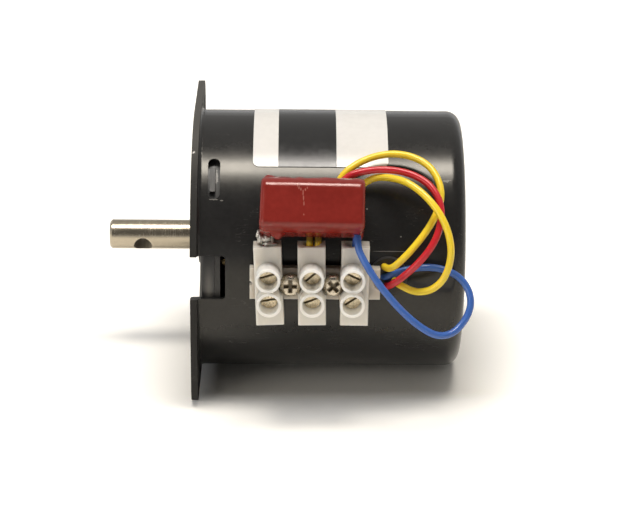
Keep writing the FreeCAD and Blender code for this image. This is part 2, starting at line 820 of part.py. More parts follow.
def terminal_strip():
    low = can_radius + web_underside
    front = pole_x(0) - pole_width / 2 - left_web_reach
    rear = pole_x(pole_count - 1) + pole_width / 2 + right_web_reach
    web = block(front, rear, -web_width / 2, web_width / 2, low, web_top_radius)
    shapes = [seated(web, 0, strip_angle)]
    for k in range(pole_count):
        shapes.append(pole_body(k))
    for x in web_middles:
        foot = seated(peg(0, 0, can_bore, low + overcut, foot_radius), x, strip_angle)
        shapes.append(foot.cut(drum(0, can_length, can_radius + seat_gap)))
    strip = joined(shapes)
    for k in range(pole_count):
        for bore in pole_bores(k):
            strip = strip.cut(bore)
    room_top = web_top_radius + strip_screw_head_height + web_head_room
    for x in web_middles:
        room = peg(0, 0, web_top_radius, room_top, strip_screw_head_radius + web_head_room)
        strip = strip.cut(seated(room, x, strip_angle))
        hole = peg(0, 0, can_bore, web_top_radius + overcut, strip_screw_radius + fit_gap)
        strip = strip.cut(seated(hole, x, strip_angle))
    for x, radius in ((front, left_web_notch), (rear, right_web_notch)):
        nick = peg(0, 0, can_radius, web_top_radius + overcut, radius)
        strip = strip.cut(seated(nick, x, strip_angle))
    return strip


def terminal_insert(k):
    x = core_shift(k)
    half = pole_length / 2 - wire_entry_depth
    insert = rod(x, -half, half, insert_radius).cut(rod(x, -half, half, insert_bore))
    for side in (-1, 1):
        y = side * chimney_spacing / 2
        thread = peg(x, y, wire_axis, can_radius + chimney_top, clamp_screw_radius + seat_gap)
        insert = insert.cut(thread)
    return on_pole(insert, k)


def clamp_screw(k, side, slot_turn):
    x = core_shift(k)
    y = side * chimney_spacing / 2
    top = clamp_head_bottom + clamp_head_height
    shank = peg(0, 0, wire_axis + clamp_screw_tip, clamp_head_bottom, clamp_screw_radius)
    head = peg(0, 0, clamp_head_bottom, top, clamp_head_radius)
    half = clamp_slot_width / 2
    reach = clamp_head_radius + overcut
    slot = block(-reach, reach, -half, half, top - clamp_slot_depth, top + overcut)
    screw = turned(joined([shank, head]).cut(slot), slot_turn)
    screw.translate(Vector(x, y, 0))
    return on_pole(screw, k)


def terminal_screws():
    screws = []
    for k in range(pole_count):
        for n, side in enumerate((1, -1)):
            screws.append(clamp_screw(k, side, clamp_slot_angles[2 * k + n]))
    return Part.makeCompound(screws)


def strip_screw(x, turn):
    top = web_top_radius + strip_screw_head_height
    head = peg(0, 0, web_top_radius + seat_gap, top, strip_screw_head_radius)
    rim = rims(head, top, strip_screw_head_radius, OUT)
    head = head.makeFillet(strip_screw_head_height / 2, rim)
    tip = can_radius - strip_screw_tip_depth
    shank = peg(0, 0, tip, web_top_radius + seat_gap, strip_screw_radius)
    screw = joined([head, shank])
    long_half = strip_screw_recess_length / 2
    short_half = strip_screw_recess_width / 2
    floor = top - strip_screw_recess_depth
    for a, b in ((long_half, short_half), (short_half, long_half)):
        screw = screw.cut(block(-a, a, -b, b, floor, top + overcut))
    return seated(turned(screw, turn), x, strip_angle)


def strip_screws():
    return Part.makeCompound([strip_screw(*screw) for screw in zip(web_middles, strip_screw_turns)])


# ---- capacitor ----

def capacitor():
    w = cap_width / 2
    h = cap_height / 2
    back = can_radius + cap_lift
    body = block(-w, w, -h, h, back, back + cap_thickness)
    body = body.makeFillet(cap_edge_radius, body.Edges)
    body = turned(body, cap_tilt)
    body.translate(Vector(0, cap_shift, 0))
    return seated(body, cap_x, cap_angle)


def from_seat(x, y, z, angle):
    """A point given in the seat of a piece on the can, in the motor's own frame."""
    return FreeCAD.Rotation(AXIS, 90 - angle).multVec(Vector(0, y, z)) + Vector(x, 0, 0)


def capacitor_leg(x, k, offset):
    """A tinned wire out of the capacitor's lower side and into a terminal."""
    middle = can_radius + cap_lift + cap_thickness / 2
    low = cap_shift - cap_height / 2
    mouth = pole_length / 2
    end = mouth - wire_entry_depth + cap_leg_end
    height = wire_axis + cap_leg_rise
    wire_x = pole_x(k) + core_shift(k) - mouth * math.sin(math.radians(pole_turn(k))) + offset
    points = [
        from_seat(x, low + cap_leg_bite, middle, cap_angle),
        from_seat(x, low - cap_leg_straight, middle, cap_angle),
        from_seat(wire_x, mouth + cap_leg_straight, height, strip_angle),
        from_seat(wire_x, end, height, strip_angle)]
    return tube(points, cap_leg_radius)[0]


def capacitor_legs():
    legs = []
    for k, place, offset in zip((0, pole_count - 1), cap_leg_places, cap_leg_entries):
        legs.append(capacitor_leg(cap_x + place, k, offset))
    return Part.makeCompound(legs)


# ---- rating label ----

def rating_label():
    low = can_radius + seat_gap
    high = low + label_thickness
    places = ((label_front, low), (label_rear, low), (label_rear, high), (label_front, high))
    corners = [polar(x, label_low_angle, radius) for x, radius in places]
    section = Part.Face(Part.makePolygon(corners + [corners[0]]))
    sheet = section.revolve(CENTRE, Vector(-1, 0, 0), label_high_angle - label_low_angle)
    short = [e for e in sheet.Edges if abs(e.Length - label_thickness) < tolerance]
    return sheet.makeFillet(label_corner_radius, short)


# ---- leads ----

def tube(points, radius):
    """A round tube along straight runs joined by tangent arcs, and its bend radii."""
    edges = []
    radii = []
    here = points[0]
    for before, corner, after in zip(points, points[1:], points[2:]):
        arriving = (corner - before).normalize()
        leaving = (after - corner).normalize()
        turn = arriving.getAngle(leaving)
        back = bend_share * min((corner - before).Length, (after - corner).Length)
        bend = back / math.tan(turn / 2)
        start = corner - arriving * back
        end = corner + leaving * back
        inward = (leaving - arriving).normalize()
        middle = corner + inward * (math.hypot(bend, back) - bend)
        edges.append(Part.LineSegment(here, start).toShape())
        edges.append(Part.Arc(start, middle, end).toShape())
        radii.append(round(bend, 1))
        here = end
    edges.append(Part.LineSegment(here, points[-1]).toShape())
    path = Part.Wire(edges)
    section = Part.Wire([Part.Circle(points[0], points[1] - points[0], radius).toShape()])
    body = path.makePipeShell([section], True, False)
    volume = math.pi * radius ** 2 * path.Length
    if abs(body.Volume / volume - 1) > volume_tolerance:
        raise ValueError("the tube's volume is not its section times its length")
    return body, radii, path.Length


def lead(node):
    points = [polar(x, angle, can_radius + height) for x, angle, height in lead_routes[node]]
    body, radii, length = tube(points, lead_radius)
    print(node, "length", round(length, 1), "bend radii", radii)
    return body


# ---- build ----
os.makedirs("parts", exist_ok=True)

bobbin_1 = (stator_front + pole_sheet + fit_gap, stator_front + stack_length - pole_sheet - fit_gap)
bobbin_2 = (stator_rear - stack_length + pole_sheet + fit_gap, stator_rear - pole_sheet - fit_gap)

parts = {
    "motor_can": motor_can(),
    "front_cover": front_cover(),
    "gear_plate": gear_plate(),
    "partition_plate": partition_plate(),
    "plate_pillars": Part.makeCompound([plate_pillar(place) for place in pillar_places]),
    "cover_screws": Part.makeCompound([cover_screw(place) for place in pillar_places]),
    "output_bush": ring(output_bush_front, gear_plate_rear, output_bush_radius,
                        shaft_radius + running_gap, output_centre),
    "journal_bush": ring(partition_front - journal_bush_nose, partition_rear, journal_bush_radius,
                         shaft_journal_radius + running_gap, output_centre),
    "idler_post_1": idler_post(post_1, wheel_1_rear),
    "idler_post_2": idler_post(post_2, wheel_2_rear),
    "post_sleeve_1": post_sleeve(post_1, pinion_1_front),
    "post_sleeve_2": post_sleeve(post_2, pinion_2_front),
    "rotor_front_bush": ring(rotor_bush_rear - rotor_bush_length, rotor_bush_rear, rotor_bush_radius,
                             spindle_radius + running_gap),
    "rotor_rear_bush": ring(rear_bush_front, stator_rear, rear_bush_radius, spindle_radius + running_gap),
    "front_pole_cup": pole_cup(stator_front, 1),
    "front_pole_plate": pole_plate(stator_front + stack_length, -1),
    "rear_pole_plate": pole_plate(stator_rear - stack_length, 1),
    "rear_pole_cup": rear_pole_cup(),
    "front_bobbin": bobbin(*bobbin_1),
    "rear_bobbin": bobbin(*bobbin_2),
    "front_coil": coil(*bobbin_1),
    "rear_coil": coil(*bobbin_2),
    "lead_grommet": lead_grommet(),
    "terminal_strip": terminal_strip(),
    "terminal_screws": terminal_screws(),
    "strip_screws": strip_screws(),
    "capacitor": capacitor(),
    "capacitor_legs": capacitor_legs(),
    "rating_label": rating_label(),
    "output_shaft": output_shaft(),
    "output_gear": output_gear(),
    "output_spacer": output_spacer(),
    "thrust_washer": thrust_washer(),
    "idler_1_wheel": idler_1_wheel(),
    "idler_1_pinion": idler_1_pinion(),
    "idler_2_wheel": idler_2_wheel(),
    "idler_2_pinion": idler_2_pinion(),
    "rotor_magnet": rotor_magnet(),
    "rotor_hub": rotor_hub(),
    "rotor_spindle": rotor_spindle(),
    "rotor_pinion": rotor_pinion(),
}
for k in range(pole_count):
    parts["terminal_insert_" + str(k + 1)] = terminal_insert(k)
for node in lead_routes:
    parts[node] = lead(node)
for node, shape in parts.items():
    export(node, shape)
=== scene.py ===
import json
import math

import bmesh
import bpy
from mathutils import Matrix, Vector, noise


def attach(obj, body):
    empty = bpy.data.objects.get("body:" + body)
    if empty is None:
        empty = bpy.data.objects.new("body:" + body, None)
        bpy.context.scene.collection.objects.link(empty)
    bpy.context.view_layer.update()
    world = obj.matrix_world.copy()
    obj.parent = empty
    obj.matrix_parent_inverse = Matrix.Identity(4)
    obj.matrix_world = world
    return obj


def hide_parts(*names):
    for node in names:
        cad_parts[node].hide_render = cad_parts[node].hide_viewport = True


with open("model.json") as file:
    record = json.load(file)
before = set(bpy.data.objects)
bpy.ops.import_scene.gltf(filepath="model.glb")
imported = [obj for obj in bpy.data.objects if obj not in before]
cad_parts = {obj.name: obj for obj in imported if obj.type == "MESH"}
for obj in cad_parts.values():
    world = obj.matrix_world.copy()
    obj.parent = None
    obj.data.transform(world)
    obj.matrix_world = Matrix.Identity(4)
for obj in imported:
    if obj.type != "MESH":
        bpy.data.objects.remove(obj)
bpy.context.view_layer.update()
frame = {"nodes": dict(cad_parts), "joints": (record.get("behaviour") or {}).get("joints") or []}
nodes = frame["nodes"]


# ---- drawn can and flange ----
# The can and its two-eared flange are deep drawn from one steel sheet and stoved in satin
# black enamel, which has a faint orange peel and fine scratches.  The flange is duller and
# paler towards its top, and its edge is chipped to bright steel.
mm = 0.001
can_radius = 30.0 * mm
enamel_black = (0.0155, 0.0155, 0.016)
enamel_sheen = (1.0, 0.965, 0.885)
bare_steel = (0.55, 0.54, 0.52)
rubbed_enamel = (0.16, 0.155, 0.145)
# The flange's enamel is paler towards its top.
upper_flange_tone = (0.1, 0.097, 0.09)
scratch_size = 0.9 * mm
scratch_share = 0.42
scratch_strength = 0.35
flange_start = (can_radius + 0.2 * mm, can_radius + 0.9 * mm)
flange_dulling = 0.42
flange_reflects = 0.2
can_reflects = 0.5
paling_rise = (22.0 * mm, 28.5 * mm)
paling_low, paling_high = 0.15, 0.7
# Each scuff: millimetres along the motor, degrees round it, its size in millimetres, and
# how ragged it is.
can_scuffs = (
    (45.0, 14.8, (4.4, 1.0, 0.12), 0.5),
    (5.3, 36.7, (1.0, 0.22, 0.16), 1.3),
    (7.0, 36.2, (0.4, 0.2, 0.14), 1.3),
    (57.5, 46.1, (0.8, 0.35, 0.35), 2.6),
    (39.6, 33.0, (0.22, 0.22, 0.22), 0.4),
    (47.2, 21.1, (0.2, 0.2, 0.2), 0.4),
    (55.4, 24.6, (0.16, 0.16, 0.16), 0.4))
# Each chip: its place and its size in millimetres, and how ragged it is.
flange_chips = (
    ((0.55, -15.7, 26.1), (0.75, 0.9, 0.5), 0.8),
    ((0.6, -30.2, -6.6), (0.6, 0.3, 0.35), 1.3),
    ((0.7, 12.0, 28.6), (0.8, 0.6, 0.3), 1.3))


def join(tree, value, socket):
    """Links an output to a socket, or sets the socket to a plain value.  A plain colour
    has three numbers, and gets its alpha here."""
    if isinstance(value, bpy.types.NodeSocket):
        tree.links.new(value, socket)
    else:
        socket.default_value = (*value, 1.0) if socket.type == "RGBA" else value


def put(tree, kind, values, **settings):
    """Adds a shader node, sets or links its sockets, and gives back its outputs."""
    node = tree.nodes.new("ShaderNode" + kind)
    for name, value in settings.items():
        setattr(node, name, value)
    for socket, value in values.items():
        join(tree, value, node.inputs[socket])
    return node.outputs


def maths(tree, operation, first, second=0.0, third=0.0):
    return put(tree, "Math", {0: first, 1: second, 2: third}, operation=operation)[0]


def vectors(tree, operation, first, second=(0.0, 0.0, 0.0)):
    return put(tree, "VectorMath", {0: first, 1: second}, operation=operation)[0]


def length_of(tree, vector):
    return put(tree, "VectorMath", {0: vector}, operation="LENGTH")["Value"]


def parts_of(tree, vector):
    return put(tree, "SeparateXYZ", {0: vector})


def spread_out(tree, value, low, high, out_low, out_high):
    ranges = {"Value": value, "From Min": low, "From Max": high, "To Min": out_low, "To Max": out_high}
    return put(tree, "MapRange", ranges)[0]


def over(tree, share, below, above):
    """The colour above laid over the colour below, where the share is one."""
    return put(tree, "Mix", {0: share, 6: below, 7: above}, data_type="RGBA")[2]


def strongest(tree, masks):
    """The strongest of several masks at each place."""
    mask = masks[0]
    for other in masks[1:]:
        mask = maths(tree, "MAXIMUM", mask, other)
    return mask


def place_on_part(tree):
    return put(tree, "TexCoord", {})["Object"]


def from_axis(tree, place):
    """How far a place is from an axis that lies along the motor, through the zero point."""
    return length_of(tree, vectors(tree, "MULTIPLY", place, (0.0, 1.0, 1.0)))


def effect(name, inputs, outputs):
    """A shader node group: the group, its inputs, and its outputs' sockets."""
    group = bpy.data.node_groups.new(name, "ShaderNodeTree")
    for title, kind in inputs:
        group.interface.new_socket(title, in_out="INPUT", socket_type="NodeSocket" + kind)
    for title, kind in outputs:
        group.interface.new_socket(title, in_out="OUTPUT", socket_type="NodeSocket" + kind)
    return group, group.nodes.new("NodeGroupInput").outputs, group.nodes.new("NodeGroupOutput").inputs


def uneven_effect():
    """Cloudy tone and gloss over a surface, with a fine relief."""
    group, given, wanted = effect(
        "uneven",
        [("Colour", "Color"), ("Spread", "Float"), ("Size", "Float"), ("Roughness", "Float"),
         ("Roughness Spread", "Float")],
        [("Colour", "Color"), ("Roughness", "Float"), ("Height", "Float")])
    wide_to_fine = 0.17
    usual_sums = (0.7, 1.3)
    place = place_on_part(group)
    per_metre = maths(group, "DIVIDE", 1.0, given["Size"])
    fine = put(group, "TexNoise", {"Vector": place, "Scale": per_metre, "Detail": 3.0})["Fac"]
    wide_scale = maths(group, "MULTIPLY", per_metre, wide_to_fine)
    wide = put(group, "TexNoise", {"Vector": place, "Scale": wide_scale, "Detail": 4.0})["Fac"]
    cloud = spread_out(group, maths(group, "ADD", fine, wide), *usual_sums, -1.0, 1.0)
    tone = maths(group, "MULTIPLY_ADD", cloud, given["Spread"], 1.0)
    colour = put(group, "VectorMath", {0: given["Colour"], "Scale": tone}, operation="SCALE")[0]
    join(group, colour, wanted["Colour"])
    gloss = maths(group, "MULTIPLY_ADD", cloud, given["Roughness Spread"], given["Roughness"])
    join(group, gloss, wanted["Roughness"])
    join(group, fine, wanted["Height"])
    return group


def mark_effect():
    """A ragged spot at a place, as long, wide and high as its size says."""
    group, given, wanted = effect(
        "mark", [("Centre", "Vector"), ("Size", "Vector"), ("Ragged", "Float")], [("Mask", "Float")])
    crumbs_per_metre = 2600.0
    fade_start = 0.75
    place = place_on_part(group)
    offset = vectors(group, "SUBTRACT", place, given["Centre"])
    reach = length_of(group, vectors(group, "DIVIDE", offset, given["Size"]))
    crumbs = put(group, "TexNoise", {"Vector": place, "Scale": crumbs_per_metre, "Detail": 2.0})["Fac"]
    ragged = maths(group, "MULTIPLY", maths(group, "SUBTRACT", crumbs, 0.5), given["Ragged"])
    edge = maths(group, "ADD", reach, ragged)
    join(group, spread_out(group, edge, fade_start, 1.0, 1.0, 0.0), wanted["Mask"])
    return group


def hairline_effect():
    """Sparse fine scratches that run mostly along the motor."""
    group, given, wanted = effect("hairlines", [("Size", "Float"), ("Share", "Float")], [("Mask", "Float")])
    drawn_out = {"Scale": (0.12, 1.0, 1.0), "Rotation": (0.0, 0.25, 0.4)}
    line_width = 0.006
    patches_per_metre = 140.0
    place = place_on_part(group)
    drawn = put(group, "Mapping", {"Vector": place, **drawn_out})[0]
    per_metre = maths(group, "DIVIDE", 1.0, given["Size"])
    lines = put(group, "TexNoise", {"Vector": drawn, "Scale": per_metre, "Detail": 2.0})["Fac"]
    middle = maths(group, "ABSOLUTE", maths(group, "SUBTRACT", lines, 0.5))
    thin = spread_out(group, middle, 0.0, line_width, 1.0, 0.0)
    areas = put(group, "TexNoise", {"Vector": place, "Scale": patches_per_metre, "Detail": 2.0})["Fac"]
    level = maths(group, "SUBTRACT", 1.0, given["Share"])
    patches = maths(group, "GREATER_THAN", areas, level)
    join(group, maths(group, "MULTIPLY", thin, patches), wanted["Mask"])
    return group


uneven = uneven_effect()
mark = mark_effect()
hairlines = hairline_effect()


def plain_finish(name, colour, roughness, size=1.0 * mm, spread=0.08, gloss_spread=0.04,
                 relief=0.004 * mm, **shader_values):
    """A material with a cloudy tone and gloss and a fine relief."""
    material = bpy.data.materials.new(name)
    material.use_nodes = True
    tree = material.node_tree
    shader = tree.nodes["Principled BSDF"]
    for title, value in shader_values.items():
        join(tree, value, shader.inputs[title.replace("_", " ")])
    sockets = {"Colour": colour, "Spread": spread, "Size": size, "Roughness": roughness,
               "Roughness Spread": gloss_spread}
    surface = put(tree, "Group", sockets, node_tree=uneven, name="surface")
    join(tree, surface["Colour"], shader.inputs["Base Color"])
    join(tree, surface["Roughness"], shader.inputs["Roughness"])
    bump = put(tree, "Bump", {"Height": surface["Height"], "Distance": relief, "Strength": 1.0})[0]
    join(tree, bump, shader.inputs["Normal"])
    return material


def inside(finish):
    """A finish's node tree, its shader's sockets, and the outputs of its uneven surface."""
    tree = finish.node_tree
    return tree, tree.nodes["Principled BSDF"].inputs, tree.nodes["surface"].outputs


def cover_with(material, *names):
    for name in names:
        nodes[name].material_slots[0].material = material


def on_can(x, angle, height=0.0):
    """A point in metres from millimetres along the motor, degrees round it from the side
    that faces the terminals upwards, and millimetres above the can."""
    radius = can_radius + height * mm
    turn = math.radians(angle)
    return Vector((x * mm, -radius * math.cos(turn), radius * math.sin(turn)))


def ragged_mark(tree, centre, size, ragged):
    sockets = {"Centre": centre, "Size": Vector(size) * mm, "Ragged": ragged}
    return put(tree, "Group", sockets, node_tree=mark)["Mask"]


def can_enamel():
    enamel = plain_finish("stoved_enamel", enamel_black, roughness=0.22, size=0.9 * mm, spread=0.12,
                          gloss_spread=0.03, relief=0.0035 * mm, IOR=1.46, Specular_Tint=enamel_sheen)
    tree, shader, surface = inside(enamel)
    place = place_on_part(tree)
    flange = spread_out(tree, from_axis(tree, place), *flange_start, 0.0, 1.0)
    # The flange is made paler towards its top.
    paling = spread_out(tree, parts_of(tree, place)["Z"], *paling_rise, paling_low, paling_high)
    paler_top = maths(tree, "MULTIPLY", flange, paling)
    scratches = put(tree, "Group", {"Size": scratch_size, "Share": scratch_share}, node_tree=hairlines)[0]
    rubbed = [maths(tree, "MULTIPLY", scratches, scratch_strength)]
    rubbed += [ragged_mark(tree, on_can(x, angle), size, ragged) for x, angle, size, ragged in can_scuffs]
    chips = strongest(tree, [ragged_mark(tree, Vector(centre) * mm, size, ragged)
                             for centre, size, ragged in flange_chips])
    colour = over(tree, paler_top, surface["Colour"], upper_flange_tone)
    colour = over(tree, strongest(tree, rubbed), colour, rubbed_enamel)
    join(tree, over(tree, chips, colour, bare_steel), shader["Base Color"])
    join(tree, chips, shader["Metallic"])
    gloss = maths(tree, "MULTIPLY_ADD", flange, flange_dulling, surface["Roughness"])
    join(tree, gloss, shader["Roughness"])
    reflects = spread_out(tree, flange, 0.0, 1.0, can_reflects, flange_reflects)
    join(tree, reflects, shader["Specular IOR Level"])
    return enamel


cover_with(can_enamel(), "motor_can")


# ---- front cover ----
# A pressed steel cover, blackened and lacquered, stands in the can's mouth, and three tabs
# on its skirt hook into the can's slots.  Each tab is dulled and creased where it was bent,
# and a paler streak on the skirt is a painted highlight, standing for light on its rounded fold.
lacquer_black = (0.02, 0.02, 0.021)
dulled_lacquer = (0.032, 0.031, 0.029)
# Painted highlight: a paler streak on the skirt.
painted_skirt_highlight = (0.11, 0.105, 0.095)
tab_start = (28.65 * mm, 28.75 * mm)
tab_angle = 46.7
tab_dulling = 0.12
crease = (2.0 * mm, 2.5 * mm)
skirt_highlight_span = (3.5 * mm, 4.8 * mm)
skirt_highlight_edge = 0.5 * mm
skirt_highlight_fade = (4.0 * mm, -1.5 * mm)


def seat_on_can(x, angle):
    """Turns a piece made flat into one that stands on the can: its X stays along the
    motor, its Y goes round the can upwards, and its Z points out from the motor's axis."""
    return Matrix.Translation((x * mm, 0.0, 0.0)) @ Matrix.Rotation(math.radians(90 - angle), 4, "X")


def on_seat(tree, x, angle):
    """A surface's place as seen from the seat at that place on the can."""
    turn = (math.radians(90 - angle), 0.0, 0.0)
    sockets = {"Vector": place_on_part(tree), "Location": (x * mm, 0.0, 0.0), "Rotation": turn}
    return parts_of(tree, put(tree, "Mapping", sockets, vector_type="TEXTURE")[0])


def between(tree, value, low, high, edge=0.04 * mm):
    """One between two values and nothing outside them, with a soft edge."""
    rises = spread_out(tree, value, low - edge, low + edge, 0.0, 1.0)
    falls = spread_out(tree, value, high - edge, high + edge, 1.0, 0.0)
    return maths(tree, "MULTIPLY", rises, falls)


def cover_lacquer():
    lacquer = plain_finish("black_lacquer", lacquer_black, roughness=0.34, size=0.8 * mm, spread=0.15,
                           gloss_spread=0.05, relief=0.003 * mm)
    tree, shader, surface = inside(lacquer)
    place = place_on_part(tree)
    outer = spread_out(tree, from_axis(tree, place), *tab_start, 0.0, 1.0)
    creased = between(tree, on_seat(tree, 0.0, tab_angle)["Y"], *crease)
    tabs = maths(tree, "MULTIPLY", outer, maths(tree, "SUBTRACT", 1.0, creased))
    parts = parts_of(tree, place)
    # A painted highlight on the skirt, where light would catch its fold.
    skirt_band = between(tree, parts["X"], *skirt_highlight_span, edge=skirt_highlight_edge)
    fading = spread_out(tree, parts["Z"], *skirt_highlight_fade, 0.0, 1.0)
    rubbed = maths(tree, "MULTIPLY", skirt_band, fading)
    colour = over(tree, tabs, surface["Colour"], dulled_lacquer)
    join(tree, over(tree, rubbed, colour, painted_skirt_highlight), shader["Base Color"])
    gloss = maths(tree, "MULTIPLY_ADD", tabs, tab_dulling, surface["Roughness"])
    join(tree, gloss, shader["Roughness"])
    return lacquer


cover_with(cover_lacquer(), "front_cover")


# ---- gearbox plates, pillars, posts and bushes ----
# The two plates are blanked from steel and phosphated dark grey, and the front one's edge
# has rubbed bright in one spot, painted paler there as a painted highlight where it shows
# through the can's slot.  Turned pillars and posts join them, screws hold the cover
# on the pillars, and the shafts run in bushes of sintered bronze.
phosphate = (0.035, 0.034, 0.033)
# Rubbed steel, painted paler as a painted highlight.
rubbed_steel_highlight = (0.3, 0.29, 0.27)
zinc = (0.55, 0.56, 0.58)
turned_steel = (0.58, 0.57, 0.55)
bronze = (0.55, 0.36, 0.2)
nickel = (0.64, 0.61, 0.55)
motor_axis = (0.0, 0.0, 0.0)
rubbed_highlight_place = (5.75, 48.8, -0.9)
rubbed_highlight_size = (0.36, 2.1, 2.1)
rubbed_highlight_ragged = 1.6
tool_mark_height = 0.0015 * mm
tool_mark_gloss = 0.05


def turning_effect():
    """Tool marks as rings round an axis that lies along the motor."""
    group, given, wanted = effect(
        "turning", [("Axis", "Vector"), ("Pitch", "Float")], [("Height", "Float"), ("Streak", "Float")])
    usual_ridges = (0.35, 0.65)
    offset = vectors(group, "SUBTRACT", place_on_part(group), given["Axis"])
    along = parts_of(group, offset)["X"]
    rings = put(group, "CombineXYZ", {"X": along, "Y": from_axis(group, offset)})[0]
    per_metre = maths(group, "DIVIDE", 1.0, given["Pitch"])
    ridges = put(group, "TexNoise", {"Vector": rings, "Scale": per_metre, "Detail": 2.0})["Fac"]
    join(group, ridges, wanted["Height"])
    join(group, spread_out(group, ridges, *usual_ridges, -1.0, 1.0), wanted["Streak"])
    return group


turning = turning_effect()


def metal_finish(name, colour, roughness, axis=None, pitch=0.12 * mm, **looks):
    """Bare or plated metal, with turning marks where the piece was made on a lathe."""
    metal = plain_finish(name, colour, roughness, Metallic=1.0, **looks)
    if axis:
        tree, shader, surface = inside(metal)
        rings = put(tree, "Group", {"Axis": axis, "Pitch": pitch}, node_tree=turning)
        relief = {"Height": rings["Height"], "Distance": tool_mark_height, "Strength": 1.0}
        join(tree, put(tree, "Bump", relief)[0], shader["Normal"])
        gloss = maths(tree, "MULTIPLY_ADD", rings["Streak"], tool_mark_gloss, surface["Roughness"])
        join(tree, gloss, shader["Roughness"])
    return metal


def phosphated_steel():
    steel = plain_finish("phosphated_steel", phosphate, roughness=0.5, size=0.6 * mm, spread=0.2,
                         relief=0.006 * mm)
    tree, shader, surface = inside(steel)
    # The plate's edge is painted paler in one spot, as a painted highlight.
    bright = ragged_mark(tree, on_can(*rubbed_highlight_place), rubbed_highlight_size, rubbed_highlight_ragged)
    join(tree, over(tree, bright, surface["Colour"], rubbed_steel_highlight), shader["Base Color"])
    return steel


cover_with(phosphated_steel(), "gear_plate", "partition_plate")
cover_with(metal_finish("zinc_plate", zinc, roughness=0.32, size=0.7 * mm, spread=0.1), "thrust_washer")
cover_with(metal_finish("turned_posts", turned_steel, roughness=0.28, axis=motor_axis),
           "plate_pillars", "idler_post_1", "idler_post_2")
cover_with(metal_finish("cover_screw_plate", nickel, roughness=0.25, size=0.5 * mm), "cover_screws")
cover_with(metal_finish("sintered_bronze", bronze, roughness=0.42, size=0.25 * mm, spread=0.2,
                        relief=0.01 * mm),
           "output_bush", "journal_bush", "rotor_front_bush", "rotor_rear_bush")


# ---- gears ----
# The rotor's pinion and the sleeves are cut from brass, the first wheel is moulded in
# acetal so that it runs quietly, and the slow gears are sintered steel.
brass = (0.72, 0.53, 0.25)
acetal = (0.82, 0.8, 0.73)
sintered_steel = (0.36, 0.35, 0.34)
plastic_depth = 0.6 * mm
cover_with(metal_finish("gear_brass", brass, roughness=0.25, axis=motor_axis),
           "rotor_pinion", "post_sleeve_1", "post_sleeve_2", "output_spacer")
cover_with(plain_finish("moulded_acetal", acetal, roughness=0.38, Subsurface_Weight=0.15,
                        Subsurface_Scale=plastic_depth), "idler_1_wheel")
cover_with(metal_finish("sintered_steel", sintered_steel, roughness=0.45, size=0.2 * mm, spread=0.2,
                        relief=0.01 * mm),
           "idler_1_pinion", "idler_2_wheel", "idler_2_pinion", "output_gear")


# ---- output shaft ----
# The shaft is ground bright from steel bar.  Its tip is chamfered, and a cross hole near
# the tip takes the pin that drives a boss.  The hole's wall is painted dark and dull, as painted shade in the
# hole.
shaft_steel = (0.53, 0.465, 0.36)
# Painted shade: the cross hole's wall is dark and dull.
hole_painted_shade = (0.26, 0.23, 0.18)
grinding_pitch = 0.05 * mm
cross_hole_x = -12.9 * mm
cross_hole_turn = math.radians(34.0)
cross_hole_edge = (2.12 * mm, 2.22 * mm)


def axis_of(joint):
    """A point on a joint's axis, in the plane of the flange's face."""
    for row in frame["joints"]:
        if row["name"] == joint:
            return (0.0, row["pos_m"][1], row["pos_m"][2])


shaft_axis = axis_of("output_spin")
cross_hole_middle = (cross_hole_x, shaft_axis[1], shaft_axis[2])
cross_hole_direction = (0.0, -math.cos(cross_hole_turn), -math.sin(cross_hole_turn))


def shaft_finish():
    steel = metal_finish("ground_shaft", shaft_steel, roughness=0.24, axis=shaft_axis, pitch=grinding_pitch,
                         size=1.2 * mm, spread=0.05)
    tree, shader, surface = inside(steel)
    offset = vectors(tree, "SUBTRACT", place_on_part(tree), cross_hole_middle)
    from_hole = length_of(tree, vectors(tree, "CROSS_PRODUCT", offset, cross_hole_direction))
    # Painted shade on the hole's wall.
    hole_shade = spread_out(tree, from_hole, *cross_hole_edge, 1.0, 0.0)
    join(tree, over(tree, hole_shade, surface["Colour"], hole_painted_shade), shader["Base Color"])
    join(tree, maths(tree, "SUBTRACT", 1.0, hole_shade), shader["Metallic"])
    return steel


cover_with(shaft_finish(), "output_shaft")
cover_with(metal_finish("ground_spindle", shaft_steel, roughness=0.22, axis=motor_axis, pitch=grinding_pitch),
           "rotor_spindle")


# ---- rotor and stator ----
# A ring of ground ferrite is moulded onto a nylon hub.  Round it stand two pole stacks of
# plated sheet, each with a coil of enamelled wire on a nylon bobbin.
ferrite = (0.06, 0.06, 0.065)
pole_sheet = (0.5, 0.5, 0.48)
bobbin_nylon = (0.76, 0.74, 0.68)
winding_enamel = (0.42, 0.16, 0.06)
wire_pitch = 0.16 * mm
wire_relief = 0.03 * mm
cover_with(plain_finish("ground_ferrite", ferrite, roughness=0.4, size=0.5 * mm, spread=0.2), "rotor_magnet")
cover_with(metal_finish("pole_sheet", pole_sheet, roughness=0.35, size=0.6 * mm),
           "front_pole_cup", "front_pole_plate", "rear_pole_plate", "rear_pole_cup")
cover_with(plain_finish("moulded_nylon", bobbin_nylon, roughness=0.4, Subsurface_Weight=0.2,
                        Subsurface_Scale=plastic_depth), "rotor_hub", "front_bobbin", "rear_bobbin")


def winding_finish():
    winding = plain_finish("varnished_winding", winding_enamel, roughness=0.25, size=2.0 * mm, spread=0.15,
                           Coat_Weight=0.5)
    tree, shader = inside(winding)[:2]
    along = parts_of(tree, place_on_part(tree))["X"]
    turns = maths(tree, "SINE", maths(tree, "MULTIPLY", along, 2 * math.pi / wire_pitch))
    bump = put(tree, "Bump", {"Height": turns, "Distance": wire_relief, "Strength": 0.8})[0]
    join(tree, bump, shader["Normal"])
    return winding


cover_with(winding_finish(), "front_coil", "rear_coil")


